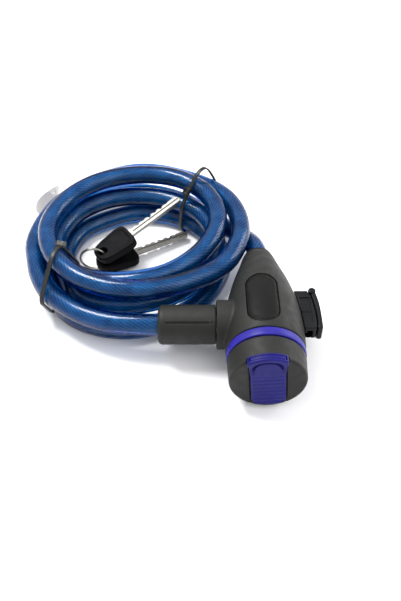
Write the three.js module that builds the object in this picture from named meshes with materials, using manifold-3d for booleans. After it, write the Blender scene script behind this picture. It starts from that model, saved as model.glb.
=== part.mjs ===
// Coiled cable lock with a right-angle locking head, millimetres, +Z up.
// Origin: on the floor, under the point where the axis of the locking head (along Y, keyhole towards -Y)
// crosses the axis of the plug (along X, cable towards -X).
import * as THREE from 'three';
import { mergeVertices } from 'three/addons/utils/BufferGeometryUtils.js';
import Module from 'manifold-3d';

const wasm = await Module();
wasm.setup();

// ---------------------------------------------------------------- driving dimensions
const GAP = 0.3; // between pieces that touch
const FACETS = 48; // around a large round piece
const AXIS_Z = 21.2; // height of the head and plug axes above the floor

const FACE_Y = -40; // front face of the cap
const CAP_BACK_Y = -25.6;
const RING_BACK_Y = -20.2;
const NOSE_Y = 53; // where the cable enters the head
const CAP_R = 21;
const RING_R = 21.2;
const HOUSING_R = 21.7;
const CHAMBER_R = 16.4; // hollow that holds the lock barrel
const CHAMBER_BACK_Y = 20.3;
// outer outline of the housing behind the ring: [radius, y]
const HOUSING_OUTLINE = [
  [21.5, -19.9], [HOUSING_R, -14], [HOUSING_R, -6], [21.1, 5], [19.8, 14.5], [17.6, 24.5],
  [15.4, 32.5], [13, 40], [11.3, 45.5], [9.8, 50.5], [8.8, NOSE_Y],
];

const COLLAR = { r: 13.7, x: -26 };
const SOCKET = { outer: 8, inner: 5.4, x0: -25.7, x1: -16.6 };
const SLEEVE = { r: 11, x0: -58, x1: -26.3, bore: 6.4, grooveTilt: 37 };
const PIN = { r: 5, x0: -43, x1: 4, grooveR: 2.8, grooveX: -7, grooveWidth: 3.8 };

const BARREL = { r: 16, y0: -32.6, y1: 19.9 };
const CORE = { r: 6.5, y0: -32.9, y1: -9, flangeR: 7.8, flangeY: -35.2 };
const CAM = { r: 6, y0: -8.7, y1: -7.2, pegR: 0.8, throw: 2.4 };
const KEY_SLOT = { width: 2.6, height: 7.2 };
const BOLT = { y0: -6.9, y1: -5.5, x0: -9, x1: 5, z0: -0.8, z1: 8.6, armLow: 5.4 };

const FACE_LEAN = 4.7; // degrees that the cap and its cover lean toward the plug
const PAD = { width: 18.4, low: -17, side: 19.9, top: 21.9, y0: -41.5, y1: -39.6 };
const CHANNEL = { width: 19.4, floorY: -39.3 };
const LIP = { width: 20.6, shoulder: 16.5, legWidth: 18.8, foot: 10.2, middle: 19.2, outerR: 22,
  y0: -43, y1: -38.2 };

const INLAY = { x: -1.6, y0: -16, y1: 22, width: 16.6, sunk: 0.5, depth: 2 };
const HEAD_SCREW_Y = [-14, 12];

const RAIL = { neck: 2.3, head: 4, x0: 16, x1: 23.4, x2: 25.8, y0: -1, y1: 18.6, z: 19.5 };
const SHOE = { y0: -7, y1: 21.5, z0: 12.5, z1: 26.5, chamfer: 5.5 };
const FLANGE = { outer: 1.6, thickness: 3, y0: -7.5, z0: 11.5, z1: 27.2, seatX: 31.7, chamfer: 6 };
const BRACKET_SCREW = { y: 9, headR: 2.8, headX: 30.4, endX: 31.6, threadR: 1 };
const POST = { r: 2.2, x: 28.3, y: 20.6, z0: 12.5, z1: 27.6 };

const CABLE_R = 6;
const COIL = { x: -76, y: 74, inner: 44, outer: 55.4, z0: 1.5, z1: 36 }; // the inner turns as one ring
const TIE = { width: 2.4, thickness: 1.1 };
// each tie's upright loop, between two [degrees, radius] places round the coil
const LEFT_TIE = { from: [203, 41.5], to: [227, 74.5], top: 37.4, tail: 7.5 };
const RIGHT_TIE = { from: [45, 42.6], to: [45, 73], top: 37.4, tail: 2 };

const TAG = { width: 22, height: 24, corner: 10.9, holeY: 9, stringR: 4.2,
  lean: 72, around: 233, at: [-137, 121, 12.5] };
const KEY = { headLength: 26, headWidth: 19, headThick: 5.4, holeFromEnd: 5, holeR: 3,
  bladeWidth: 5, bladeThick: 2.2, tip: 60, shank: 14 };
const KEY_HOLE = [-95, 66.5]; // where both keys hang on the ring
const KEY_LOWER = { angle: 30.5, tilt: -1.5, z: 5.6 };
const KEY_UPPER = { angle: 34.6, tilt: 17.8, z: 13.6 };
const KEY_RING = { r: 8.3, wire: 0.7, z: 9.2, behind: 6.8 };

// cable from the plug to the coil
const PLUG_LEAD = [
  [-58.3, 0, AXIS_Z], [-70, 0.6, 21], [-85, 3, 20.4], [-99, 8.5, 19.6], [-112, 17.5, 18.8],
  [-123.5, 29, 18.2], [-131, 43, 18],
];
// outermost turn round the coil, clockwise from the left: [degrees, radius, height]
const OUTER_TURN = [
  [200, 61.8, 18], [180, 62, 18], [150, 62, 19], [120, 62.5, 21.5],
  [90, 64, 24], [60, 65, 23.5], [30, 67, 25.5],
];
// cable from the nose of the head to the coil
const NOSE_LEAD = [
  [0, 41.3, AXIS_Z], [0, 48, AXIS_Z], [0, 57.5, AXIS_Z], [-2.2, 68.5, 19.2], [-6.8, 80, 15],
  [-12.6, 91, 11.2], [-20, 100.5, 8],
];

// ---------------------------------------------------------------- materials
const COLOURS = {
  softBlack: ['#3a3c3a', 0.75, 0],
  glossBlack: ['#1e2023', 0.4, 0],
  blue: ['#332e9c', 0.5, 0],
  cable: ['#0a51a6', 0.25, 0],
  steel: ['#b9bcbe', 0.3, 0.9],
  zinc: ['#8d9194', 0.45, 0.8],
  brass: ['#b08d4a', 0.35, 0.9],
  rubber: ['#1c1c1c', 0.85, 0],
  tieBlack: ['#17181a', 0.45, 0],
  card: ['#d8d4d2', 0.7, 0],
};

function material(name) {
  const [color, roughness, metalness] = COLOURS[name];
  return new THREE.MeshStandardMaterial({ color, roughness, metalness });
}

// ---------------------------------------------------------------- solids
function solid(geometry) {
  const plain = geometry.clone();
  plain.deleteAttribute('normal');
  plain.deleteAttribute('uv');
  const merged = mergeVertices(plain, 1e-4);
  return new wasm.Manifold(new wasm.Mesh({
    numProp: 3,
    vertProperties: new Float32Array(merged.attributes.position.array),
    triVerts: new Uint32Array(merged.index.array),
  }));
}

function geometryOf(manifold) {
  const { vertProperties, triVerts } = manifold.getMesh();
  const geometry = new THREE.BufferGeometry();
  geometry.setAttribute('position', new THREE.BufferAttribute(new Float32Array(vertProperties), 3));
  geometry.setIndex(new THREE.BufferAttribute(new Uint32Array(triVerts), 1));
  geometry.computeVertexNormals();
  return geometry;
}

function box(x0, x1, y0, y1, z0, z1) {
  const geometry = new THREE.BoxGeometry(x1 - x0, y1 - y0, z1 - z0);
  return solid(geometry.translate((x0 + x1) / 2, (y0 + y1) / 2, (z0 + z1) / 2));
}

// a body turned about a line along Y at the height of the head's axis; outline is [radius, y]
function turned(outline, facets = FACETS) {
  const points = outline.map(([r, y]) => new THREE.Vector2(r, y));
  const geometry = new THREE.LatheGeometry(points, facets);
  const made = solid(geometry.translate(0, 0, AXIS_Z));
  return made;
}

function closed(outline) {
  return [...outline, outline[0]];
}

// a round bar between two ends along one axis, through the point given by the other two coordinates
function bar(axis, r, from, to, across, facets = 32) {
  const geometry = new THREE.CylinderGeometry(r, r, to - from, facets);
  const middle = (from + to) / 2;
  if (axis === 'x') geometry.rotateZ(Math.PI / 2).translate(middle, across[0], across[1]);
  if (axis === 'y') geometry.translate(across[0], middle, across[1]);
  if (axis === 'z') geometry.rotateX(Math.PI / 2).translate(across[0], across[1], middle);
  return solid(geometry);
}

function barX(r, x0, x1, y = 0, z = AXIS_Z, facets = 32) {
  return bar('x', r, x0, x1, [y, z], facets);
}

function barY(r, y0, y1, x = 0, z = AXIS_Z, facets = 32) {
  return bar('y', r, y0, y1, [x, z], facets);
}

function barZ(r, z0, z1, x, y, facets = 24) {
  return bar('z', r, z0, z1, [x, y], facets);
}

// a flat outline in the XZ plane pushed along Y
function pushedAlongY(shape, y0, y1, curveSegments = 8) {
  const geometry = new THREE.ExtrudeGeometry(shape, { depth: y1 - y0, bevelEnabled: false, curveSegments });
  return solid(geometry.rotateX(Math.PI / 2).translate(0, y1, AXIS_Z));
}

// a flat outline in the YZ plane pushed along X
function pushedAlongX(shape, x0, x1, curveSegments = 8) {
  const options = { depth: x1 - x0, bevelEnabled: false, curveSegments };
  const turn = new THREE.Matrix4().makeBasis(
    new THREE.Vector3(0, 1, 0),
    new THREE.Vector3(0, 0, 1),
    new THREE.Vector3(1, 0, 0),
  );
  return solid(new THREE.ExtrudeGeometry(shape, options).applyMatrix4(turn).translate(x0, 0, 0));
}

// a flat outline in the XY plane pushed along Z
function pushedAlongZ(shape, z0, z1, curveSegments = 8) {
  const geometry = new THREE.ExtrudeGeometry(shape, { depth: z1 - z0, bevelEnabled: false, curveSegments });
  return solid(geometry.translate(0, 0, z0));
}

function roundedRectangle(width, height, r, x = 0, y = 0) {
  const [w, h] = [width / 2 - r, height / 2 - r];
  const shape = new THREE.Shape();
  shape.absarc(x + w, y + h, r, 0, Math.PI / 2);
  shape.absarc(x - w, y + h, r, Math.PI / 2, Math.PI);
  shape.absarc(x - w, y - h, r, Math.PI, 1.5 * Math.PI);
  shape.absarc(x + w, y - h, r, 1.5 * Math.PI, 2 * Math.PI);
  return shape;
}

function mesh(name, made, colour) {
  const part = new THREE.Mesh(made.isBufferGeometry ? made : geometryOf(made), material(colour));
  part.name = name;
  return part;
}

// ---------------------------------------------------------------- locking head, fixed pieces
const HOLE_START = -60; // well outside the head, for cuts that break through its skin

function housingSkin(grow) {
  const outline = HOUSING_OUTLINE.map(([r, y]) => [r + grow, y]);
  return turned([[0, outline[0][1]], ...outline, [0, NOSE_Y]]);
}

function stadium(grow) {
  const width = INLAY.width + 2 * grow;
  const length = INLAY.y1 - INLAY.y0 + 2 * grow;
  return roundedRectangle(width, length, width / 2 - 0.01, INLAY.x, (INLAY.y0 + INLAY.y1) / 2);
}

function inlaySpace(grow, skinDepth) {
  const prism = pushedAlongZ(stadium(grow), AXIS_Z + 8, AXIS_Z + 30);
  return prism.subtract(housingSkin(-skinDepth));
}

function railSolid(grow) {
  const { neck, head, x0, x1, x2, y0, y1, z } = RAIL;
  const [from, to] = [y0 - grow, y1 + grow];
  const stem = box(x0, x2 + grow, from, to, z - neck - grow, z + neck + grow);
  return stem.add(box(x1 - grow, x2 + grow, from, to, z - head - grow, z + head + grow));
}

function rearHousing() {
  const hollow = [
    [7, NOSE_Y], [8, NOSE_Y], [8, NOSE_Y - 6], [6.6, NOSE_Y - 6], [6.6, 41.2], [7.7, 41.2],
    [7.7, CHAMBER_BACK_Y], [CHAMBER_R, CHAMBER_BACK_Y], [CHAMBER_R, HOUSING_OUTLINE[0][1]],
  ];
  let body = turned(closed([...HOUSING_OUTLINE, ...hollow.slice(1)]));
  const chamber = barY(CHAMBER_R + 1, -30, 30, 0, AXIS_Z, FACETS);
  body = body.add(barX(COLLAR.r, COLLAR.x, -8, 0, AXIS_Z, FACETS).subtract(chamber));
  body = body.add(railSolid(0).subtract(chamber));
  body = body.subtract(barX(SOCKET.outer + GAP, HOLE_START, -8));
  body = body.subtract(inlaySpace(GAP, INLAY.depth + GAP));
  for (const y of HEAD_SCREW_Y) {
    body = body.subtract(barZ(3.3, -2, 2.8, 0, y)).subtract(barZ(1.8, -2, 8, 0, y));
  }
  body = body.subtract(barZ(1.8, -2, 20, 0, 30.5));
  return body.subtract(box(-40, 40, -60, 70, -10, 0));
}

function topInlay() {
  return inlaySpace(0, INLAY.depth).intersect(housingSkin(-INLAY.sunk));
}

function frontCap() {
  const shell = turned([
    [0, FACE_Y], [18.9, FACE_Y], [19.9, FACE_Y + 0.6], [20.3, FACE_Y + 1.8], [CAP_R, CAP_BACK_Y],
    [CHAMBER_R + 0.2, CAP_BACK_Y], [CHAMBER_R + 0.2, -35.5], [0, -35.5],
  ]);
  const half = CHANNEL.width / 2;
  const channel = box(-half, half, -45, CHANNEL.floorY, AXIS_Z + PAD.low - 1, AXIS_Z + 30);
  const lip = LIP.width / 2 + GAP;
  const lipSpace = box(-lip, lip, -45, LIP.y1 + GAP, AXIS_Z + LIP.shoulder - GAP, AXIS_Z + 30);
  return shell.subtract(channel).subtract(lipSpace).subtract(barY(6.9, -41, -30));
}

function trimRing() {
  const inner = CHAMBER_R + 0.2;
  return turned(closed([
    [inner, CAP_BACK_Y + GAP], [RING_R - 0.3, CAP_BACK_Y + GAP], [RING_R, -24.8], [RING_R, -20.8],
    [RING_R - 0.3, RING_BACK_Y], [inner, RING_BACK_Y],
  ]));
}

// blue guide over the cap's upper edge, which the keyhole cover slides up through
function coverGuide() {
  const half = LIP.width / 2;
  const leg = LIP.legWidth / 2;
  const reach = Math.asin(half / LIP.outerR);
  const shape = new THREE.Shape();
  shape.moveTo(leg, LIP.foot);
  shape.lineTo(leg, LIP.shoulder);
  shape.lineTo(half, LIP.shoulder);
  shape.absarc(0, 0, LIP.outerR, Math.PI / 2 - reach, Math.PI / 2 + reach);
  shape.lineTo(-half, LIP.shoulder);
  shape.lineTo(-leg, LIP.shoulder);
  shape.lineTo(-leg, LIP.foot);
  guideArch().forEach(([x, z]) => shape.lineTo(x, z));
  const band = pushedAlongY(shape, LIP.y0, LIP.y1, 10);
  const back = box(-half, half, PAD.y0 - 0.35, LIP.y1 + 1, AXIS_Z, AXIS_Z + LIP.shoulder);
  const slotHalf = PAD.width / 2 + 0.35;
  const slot = box(-slotHalf, slotHalf, PAD.y0 - 0.35, CHANNEL.floorY, AXIS_Z, AXIS_Z + 40);
  return band.subtract(slot).subtract(back);
}

// lower edge of the guide's face from left to right, squarer than an ellipse: [x, height over the axis]
function guideArch() {
  const half = LIP.legWidth / 2 - 0.4;
  const rise = LIP.middle - LIP.foot;
  const steps = 16;
  return Array.from({ length: steps + 1 }, (_, i) => {
    const turn = Math.PI * (1 - i / steps);
    const [c, d] = [Math.cos(turn), Math.sin(turn)];
    return [half * Math.sign(c) * Math.abs(c) ** 0.8, LIP.foot + rise * Math.max(d, 0) ** 0.8];
  });
}

function lockBarrel() {
  let body = barY(BARREL.r, BARREL.y0, BARREL.y1, 0, AXIS_Z, FACETS);
  body = body.subtract(barY(CORE.r + GAP, -40, CAM.y1));
  body = body.subtract(barX(PIN.r + 0.4, HOLE_START, PIN.x1 + 1));
  const z = AXIS_Z;
  body = body.subtract(box(-9.6, 6, CAM.y1 - 0.1, BOLT.y1 + 0.4, z - 4, z + 9.2));
  body = body.subtract(box(-9.3, -4.7, -6, 3.3, z, z + 9.2));
  body = body.subtract(barZ(2.5, z + 9, z + 14.2, PIN.grooveX, -1));
  body = body.subtract(barZ(1.5, 2, 10.9, 0, HEAD_SCREW_Y[0]));
  return body.subtract(barZ(1.5, 2, 10.9, 0, HEAD_SCREW_Y[1]));
}

function plugSocket() {
  const { outer, inner, x0, x1 } = SOCKET;
  return barX(outer, x0, x1).subtract(barX(inner, x0 - 1, x1 + 1));
}

function headScrew(y) {
  const head = barZ(2.8, 0.8, 2.4, 0, y).subtract(box(-2, 2, y - 0.4, y + 0.4, 0, 1.5));
  return head.add(barZ(1.2, 2.2, 10.4, 0, y));
}

function noseFerrule() {
  return barY(7.3, CHAMBER_BACK_Y + GAP, 40.9).subtract(barZ(1.8, 0, 40, 0, 30.5));
}

function ferrulePin() {
  return barZ(1.5, 6.2, AXIS_Z + 6, 0, 30.5, 16);
}

function noseGrommet() {
  const end = NOSE_Y + 1.6;
  const from = NOSE_Y - 5.6;
  const outline = [[6.4, from], [7.7, from], [7.7, NOSE_Y], [8.6, NOSE_Y + GAP], [8.2, end], [6.4, end]];
  return turned(closed(outline), 32);
}

// ---------------------------------------------------------------- locking head, moving pieces
function archedPad(width, low, side, top) {
  const half = width / 2;
  const rise = top - side;
  const r = (half * half + rise * rise) / (2 * rise);
  const bend = Math.asin(half / r);
  const shape = new THREE.Shape();
  const corner = 3.5;
  shape.absarc(half - corner, low + corner, corner, -Math.PI / 2, 0);
  shape.absarc(0, top - r, r, Math.PI / 2 - bend, Math.PI / 2 + bend);
  shape.absarc(corner - half, low + corner, corner, Math.PI, 1.5 * Math.PI);
  return shape;
}

function keyholeCover() {
  let pad = pushedAlongY(archedPad(PAD.width, PAD.low, PAD.side, PAD.top), PAD.y0 + 0.5, PAD.y1);
  const pitch = 4.1;
  const ribs = 7;
  for (let i = 0; i < ribs; i += 1) {
    const z = AXIS_Z - 14.2 + i * pitch;
    pad = pad.add(box(-PAD.width / 2 + 1, PAD.width / 2 - 1, PAD.y0, PAD.y0 + 1, z, z + 2.4));
  }
  return pad;
}

function keyCylinder() {
  const slotY = -20;
  let core = barY(CORE.r, CORE.flangeY, CORE.y1).add(barY(CORE.flangeR, CORE.flangeY, CORE.y0));
  const { width, height } = KEY_SLOT;
  core = core.subtract(box(-width / 2, width / 2, -40, slotY, AXIS_Z - height / 2, AXIS_Z + height / 2));
  return core.subtract(barY(1.1, CORE.y1 - 4, CORE.y1 + 1));
}

function cam() {
  const disc = barY(CAM.r, CAM.y0, CAM.y1);
  const peg = barY(CAM.pegR, CAM.y1 - 0.2, BOLT.y1 - 0.2, 0, AXIS_Z + CAM.throw, 16);
  return disc.add(peg).subtract(barY(1.3, CAM.y0 - 1, CAM.y1 + 0.001));
}

function camScrew() {
  return barY(0.9, CORE.y1 - 3.5, CAM.y1 - 0.1, 0, AXIS_Z, 16);
}

function lockingBolt() {
  const z = AXIS_Z;
  const plate = box(BOLT.x0, BOLT.x1, BOLT.y0, BOLT.y1, z + BOLT.z0, z + BOLT.z1);
  const arm = box(-8.5, -5.5, BOLT.y0, 2.6, z + BOLT.armLow, z + BOLT.z1);
  const reach = CAM.throw + CAM.pegR + 0.3;
  const slot = box(-1.2, reach, BOLT.y0 - 1, BOLT.y1 + 1, z + CAM.throw - 1.4, z + CAM.throw + 1.4);
  return plate.add(arm).subtract(slot);
}

function boltSpring() {
  const turns = 4;
  const [low, high] = [AXIS_Z + 9.4, AXIS_Z + 13.4];
  class Helix extends THREE.Curve {
    getPoint(t, target = new THREE.Vector3()) {
      const a = 2 * Math.PI * turns * t;
      return target.set(PIN.grooveX + 1.7 * Math.cos(a), -1 + 1.7 * Math.sin(a), low + (high - low) * t);
    }
  }
  const wire = new THREE.Shape().absarc(0, 0, 0.3, 0, 2 * Math.PI);
  const options = { steps: 48, bevelEnabled: false, extrudePath: new Helix(), curveSegments: 3 };
  return new THREE.ExtrudeGeometry(wire, options);
}

// ---------------------------------------------------------------- plug
function plugPin() {
  const { r, x0, x1, grooveR, grooveX, grooveWidth } = PIN;
  const shaft = barX(r, x0, x1 - 2);
  const cone = new THREE.CylinderGeometry(r, r - 1.6, 2.1, 32);
  const tip = cone.rotateZ(Math.PI / 2).translate(x1 - 0.95, 0, AXIS_Z);
  const from = grooveX - grooveWidth / 2;
  const neck = barX(grooveR, from - 1, from + grooveWidth + 1);
  const ring = barX(r + 1, from, from + grooveWidth).subtract(neck);
  return shaft.add(solid(tip)).subtract(ring);
}

function plugSleeve() {
  const { r, x0, x1, bore } = SLEEVE;
  const outline = [[0, x0], [r - 2.2, x0], [r - 0.6, x0 + 0.8], [r, x0 + 2.6], [r, x1], [0, x1]];
  const points = outline.map(([radius, x]) => new THREE.Vector2(radius, x));
  const body = solid(new THREE.LatheGeometry(points, FACETS).rotateZ(-Math.PI / 2).translate(0, 0, AXIS_Z));
  const half = 0.45;
  const groove = box(-53.7, -30.2, -half, half, AXIS_Z + r - 0.8, AXIS_Z + r + 1);
  const tilt = THREE.MathUtils.degToRad(SLEEVE.grooveTilt);
  const turnedGroove = geometryOf(groove).translate(0, 0, -AXIS_Z).rotateX(tilt).translate(0, 0, AXIS_Z);
  return body.subtract(barX(bore, x0 - 1, -44))
    .subtract(barX(PIN.r + GAP, -45, x1 + 1))
    .subtract(solid(turnedGroove));
}

function plugFerrule() {
  return barX(SLEEVE.bore - GAP, -53, -44.3, 0, AXIS_Z, 24).subtract(barX(3, -54, -46, 0, AXIS_Z, 16));
}

// ---------------------------------------------------------------- frame bracket
// the flange's middle line, bowed outwards in plan
function flangeOutline(offset) {
  return new THREE.QuadraticBezierCurve(
    new THREE.Vector2(28 + offset, 23.2),
    new THREE.Vector2(31.8 + offset, 4),
    new THREE.Vector2(29.9 + offset, FLANGE.y0),
  ).getPoints(10);
}

// side view of the bracket's pieces, the lower front corner cut off at 45 degrees
function bracketSide({ y0, z0, z1, chamfer }, y1) {
  const outline = [[y0, z1], [y0, z0 + chamfer], [y0 + chamfer, z0], [y1, z0], [y1, z1]];
  const shape = new THREE.Shape(outline.map(([y, z]) => new THREE.Vector2(y, z)));
  return pushedAlongX(shape, 0, 40);
}

function bracketShoe() {
  const edge = flangeOutline(FLANGE.outer - FLANGE.thickness - GAP);
  const plan = new THREE.Shape([...edge, new THREE.Vector2(16, -8), new THREE.Vector2(16, 23.5)]);
  const block = pushedAlongZ(plan, SHOE.z0, SHOE.z1).intersect(bracketSide(SHOE, SHOE.y1));
  const panel = box(20.5, 26.6, SHOE.y0 + 4, SHOE.y1 - 5.5, SHOE.z1 - 0.9, SHOE.z1 + 1);
  const neck = RAIL.neck + GAP;
  const head = RAIL.head + GAP;
  const mouth = [-12, RAIL.y0 + 3]; // the slot runs out of the end of the shoe that slides off the rail
  const slot = railSolid(GAP)
    .add(box(RAIL.x0, RAIL.x2 + GAP, ...mouth, RAIL.z - neck, RAIL.z + neck))
    .add(box(RAIL.x1 - GAP, RAIL.x2 + GAP, ...mouth, RAIL.z - head, RAIL.z + head));
  return block.subtract(housingSkin(0.4)).subtract(slot).subtract(panel)
    .subtract(barX(BRACKET_SCREW.threadR + GAP, RAIL.x2, 40, BRACKET_SCREW.y, RAIL.z, 16))
    .subtract(barZ(POST.r + GAP, 0, 40, POST.x, POST.y, 20));
}

function bracketFlange() {
  const outer = flangeOutline(FLANGE.outer);
  const inner = flangeOutline(FLANGE.outer - FLANGE.thickness).reverse();
  const shape = new THREE.Shape([...outer.reverse(), ...inner.reverse()]);
  const plate = pushedAlongZ(shape, FLANGE.z0, FLANGE.z1);
  const { y, headR, headX } = BRACKET_SCREW;
  return plate.intersect(bracketSide(FLANGE, POST.y)).intersect(box(0, FLANGE.seatX, -20, 40, 0, 40))
    .subtract(barZ(POST.r + GAP, 0, 40, POST.x, POST.y, 20))
    .subtract(barX(1.7, 20, 40, y, RAIL.z, 16))
    .subtract(barX(headR + 0.4, headX - GAP, 40, y, RAIL.z, 20));
}

function bracketScrew() {
  const { y, headR, headX, endX, threadR } = BRACKET_SCREW;
  const drive = box(endX - 0.6, endX + 1, y - 0.4, y + 0.4, RAIL.z - 2, RAIL.z + 2);
  const head = barX(headR, headX, endX, y, RAIL.z, 20).subtract(drive);
  return head.add(barX(threadR, RAIL.x2 + 0.6, headX + 0.2, y, RAIL.z, 16));
}

function strapPost() {
  return barZ(POST.r, POST.z0, POST.z1, POST.x, POST.y, 20);
}

// ---------------------------------------------------------------- cable, ties and tag
function cableTube(points) {
  const path = new THREE.CatmullRomCurve3(points.map((p) => new THREE.Vector3(...p)));
  const steps = Math.round(path.getLength() / (2 * CABLE_R));
  const section = new THREE.Shape().absarc(0, 0, CABLE_R, 0, 2 * Math.PI);
  const options = { steps, bevelEnabled: false, extrudePath: path, curveSegments: 5 };
  return new THREE.ExtrudeGeometry(section, options);
}

// a point given by its angle and radius round the coil's axis, and its height
function roundTheCoil([degrees, r, z]) {
  const angle = THREE.MathUtils.degToRad(degrees);
  return [COIL.x + r * Math.cos(angle), COIL.y + r * Math.sin(angle), z];
}

function cableCoil() {
  const { inner, outer, z0, z1 } = COIL;
  const soft = 4;
  const outline = [
    [inner + soft, z0], [outer - soft, z0], [outer, z0 + soft], [outer, z1 - soft], [outer - soft, z1],
    [inner + soft, z1], [inner, z1 - soft], [inner, z0 + soft],
  ];
  const points = closed(outline).map(([r, z]) => new THREE.Vector2(r, z));
  return new THREE.LatheGeometry(points, 64).rotateX(Math.PI / 2);
}

// a strap loop in the XZ plane, from x = 0 to its length
function tieStrap(length, top) {
  const t = TIE.thickness;
  const loop = roundedRectangle(length, top, 4, length / 2, top / 2);
  loop.holes.push(roundedRectangle(length - 2 * t, top - 2 * t, 3.2, length / 2, top / 2));
  const options = { depth: TIE.width, bevelEnabled: false, curveSegments: 3 };
  return new THREE.ExtrudeGeometry(loop, options).translate(0, 0, -TIE.width / 2).rotateX(Math.PI / 2);
}

function tieHead(top, tailLength) {
  const block = box(-0.5, 4.5, -2.3, 2.3, top + GAP, top + 3.3);
  const tail = box(-tailLength, 0, -1.1, 1.1, top + 1.1, top + 2.1);
  return geometryOf(block.add(tail));
}

function hangTag() {
  const { width, height, corner, holeY } = TAG;
  const plate = roundedRectangle(width, height, corner);
  plate.holes.push(new THREE.Path().absarc(0, holeY, 1.4, 0, 2 * Math.PI));
  return new THREE.ExtrudeGeometry(plate, { depth: 0.8, bevelEnabled: false, curveSegments: 5 });
}

function tagString() {
  return new THREE.TorusGeometry(TAG.stringR, 0.4, 6, 24);
}

// ---------------------------------------------------------------- keys
// a key lies along +X from its ring hole, flat in XY
function keyHead() {
  const { headLength, headWidth, headThick, holeFromEnd, holeR, bladeWidth, bladeThick } = KEY;
  const outline = roundedRectangle(headLength, headWidth, 4.5, headLength / 2 - holeFromEnd, 0);
  outline.holes.push(new THREE.Path().absarc(0, 0, holeR, 0, 2 * Math.PI));
  const body = pushedAlongZ(outline, -headThick / 2, headThick / 2, 5);
  const [w, t] = [bladeWidth / 2 + GAP, bladeThick / 2 + GAP];
  return geometryOf(body.subtract(box(KEY.shank - GAP, 40, -w, w, -t, t)));
}

function keyBlade() {
  const half = KEY.bladeWidth / 2;
  const notches = [1.2, 0.6, 1.6, 0.9, 1.4, 0.5];
  const pitch = 4.6;
  const start = 28;
  const shape = new THREE.Shape();
  shape.moveTo(KEY.shank, -half);
  shape.lineTo(KEY.tip - 1.5, -half);
  shape.lineTo(KEY.tip, 0);
  shape.lineTo(KEY.tip - 2.5, half);
  notches.reverse().forEach((depth, i) => {
    const x = start + (notches.length - 1 - i) * pitch;
    shape.lineTo(x + 1.5, half);
    shape.lineTo(x + 0.4, half - depth);
    shape.lineTo(x - 0.4, half - depth);
    shape.lineTo(x - 1.5, half);
  });
  shape.lineTo(KEY.shank, half);
  const blade = pushedAlongZ(shape, -KEY.bladeThick / 2, KEY.bladeThick / 2);
  const groove = box(23, KEY.tip + 1, -0.7, 0.5, KEY.bladeThick / 2 - 0.7, KEY.bladeThick);
  return geometryOf(blade.subtract(groove));
}

function keyRing() {
  return new THREE.TorusGeometry(KEY_RING.r, KEY_RING.wire, 8, 28);
}

function placedKey(letter, { angle, tilt, z }) {
  const group = new THREE.Group();
  group.add(mesh(`key_${letter}_head`, keyHead(), 'glossBlack'));
  group.add(mesh(`key_${letter}_blade`, keyBlade(), 'steel'));
  group.rotation.set(0, -THREE.MathUtils.degToRad(tilt), THREE.MathUtils.degToRad(angle), 'ZYX');
  group.position.set(KEY_HOLE[0], KEY_HOLE[1], z);
  return group;
}

// ---------------------------------------------------------------- assembly
// the cap and its cover, turned about the head's axis so that their top leans toward the plug
function headFace() {
  const group = new THREE.Group();
  group.add(mesh('front_cap', frontCap(), 'softBlack'));
  group.add(mesh('cover_guide', coverGuide(), 'blue'));
  group.add(mesh('keyhole_cover', keyholeCover(), 'blue'));
  const lean = FACE_LEAN * Math.PI / 180;
  group.rotation.y = -lean;
  group.position.set(AXIS_Z * Math.sin(lean), 0, AXIS_Z * (1 - Math.cos(lean)));
  return group;
}

function lockHead() {
  const group = new THREE.Group();
  group.add(mesh('rear_housing', rearHousing(), 'softBlack'));
  group.add(mesh('top_inlay', topInlay(), 'softBlack'));
  group.add(mesh('trim_ring', trimRing(), 'blue'));
  group.add(headFace());
  group.add(mesh('lock_barrel', lockBarrel(), 'zinc'));
  group.add(mesh('plug_socket', plugSocket(), 'steel'));
  group.add(mesh('key_cylinder', keyCylinder(), 'brass'));
  group.add(mesh('cylinder_cam', cam(), 'steel'));
  group.add(mesh('cam_screw', camScrew(), 'steel'));
  group.add(mesh('locking_bolt', lockingBolt(), 'steel'));
  group.add(mesh('bolt_spring', boltSpring(), 'steel'));
  group.add(mesh('nose_ferrule', noseFerrule(), 'steel'));
  group.add(mesh('ferrule_pin', ferrulePin(), 'steel'));
  group.add(mesh('nose_grommet', noseGrommet(), 'rubber'));
  HEAD_SCREW_Y.forEach((y, i) => group.add(mesh(`head_screw_${i + 1}`, headScrew(y), 'steel')));
  return group;
}

function plug() {
  const group = new THREE.Group();
  group.add(mesh('plug_pin', plugPin(), 'steel'));
  group.add(mesh('plug_sleeve', plugSleeve(), 'softBlack'));
  group.add(mesh('plug_ferrule', plugFerrule(), 'zinc'));
  return group;
}

function bracket() {
  const group = new THREE.Group();
  group.add(mesh('bracket_shoe', bracketShoe(), 'glossBlack'));
  group.add(mesh('bracket_flange', bracketFlange(), 'glossBlack'));
  group.add(mesh('bracket_screw', bracketScrew(), 'steel'));
  group.add(mesh('strap_post', strapPost(), 'glossBlack'));
  return group;
}

function tie(side, { from, to, top, tail }) {
  const group = new THREE.Group();
  const [x0, y0] = roundTheCoil([...from, 0]);
  const [x1, y1] = roundTheCoil([...to, 0]);
  group.add(mesh(`tie_${side}_strap`, tieStrap(Math.hypot(x1 - x0, y1 - y0), top), 'tieBlack'));
  group.add(mesh(`tie_${side}_head`, tieHead(top, tail), 'tieBlack'));
  group.position.set(x0 - COIL.x, y0 - COIL.y, 0);
  group.rotation.z = Math.atan2(y1 - y0, x1 - x0);
  return group;
}

function coiledCable() {
  const group = new THREE.Group();
  group.position.set(COIL.x, COIL.y, 0);
  group.add(mesh('cable_coil', cableCoil(), 'cable'));
  group.add(tie('left', LEFT_TIE));
  group.add(tie('right', RIGHT_TIE));
  return group;
}

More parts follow.
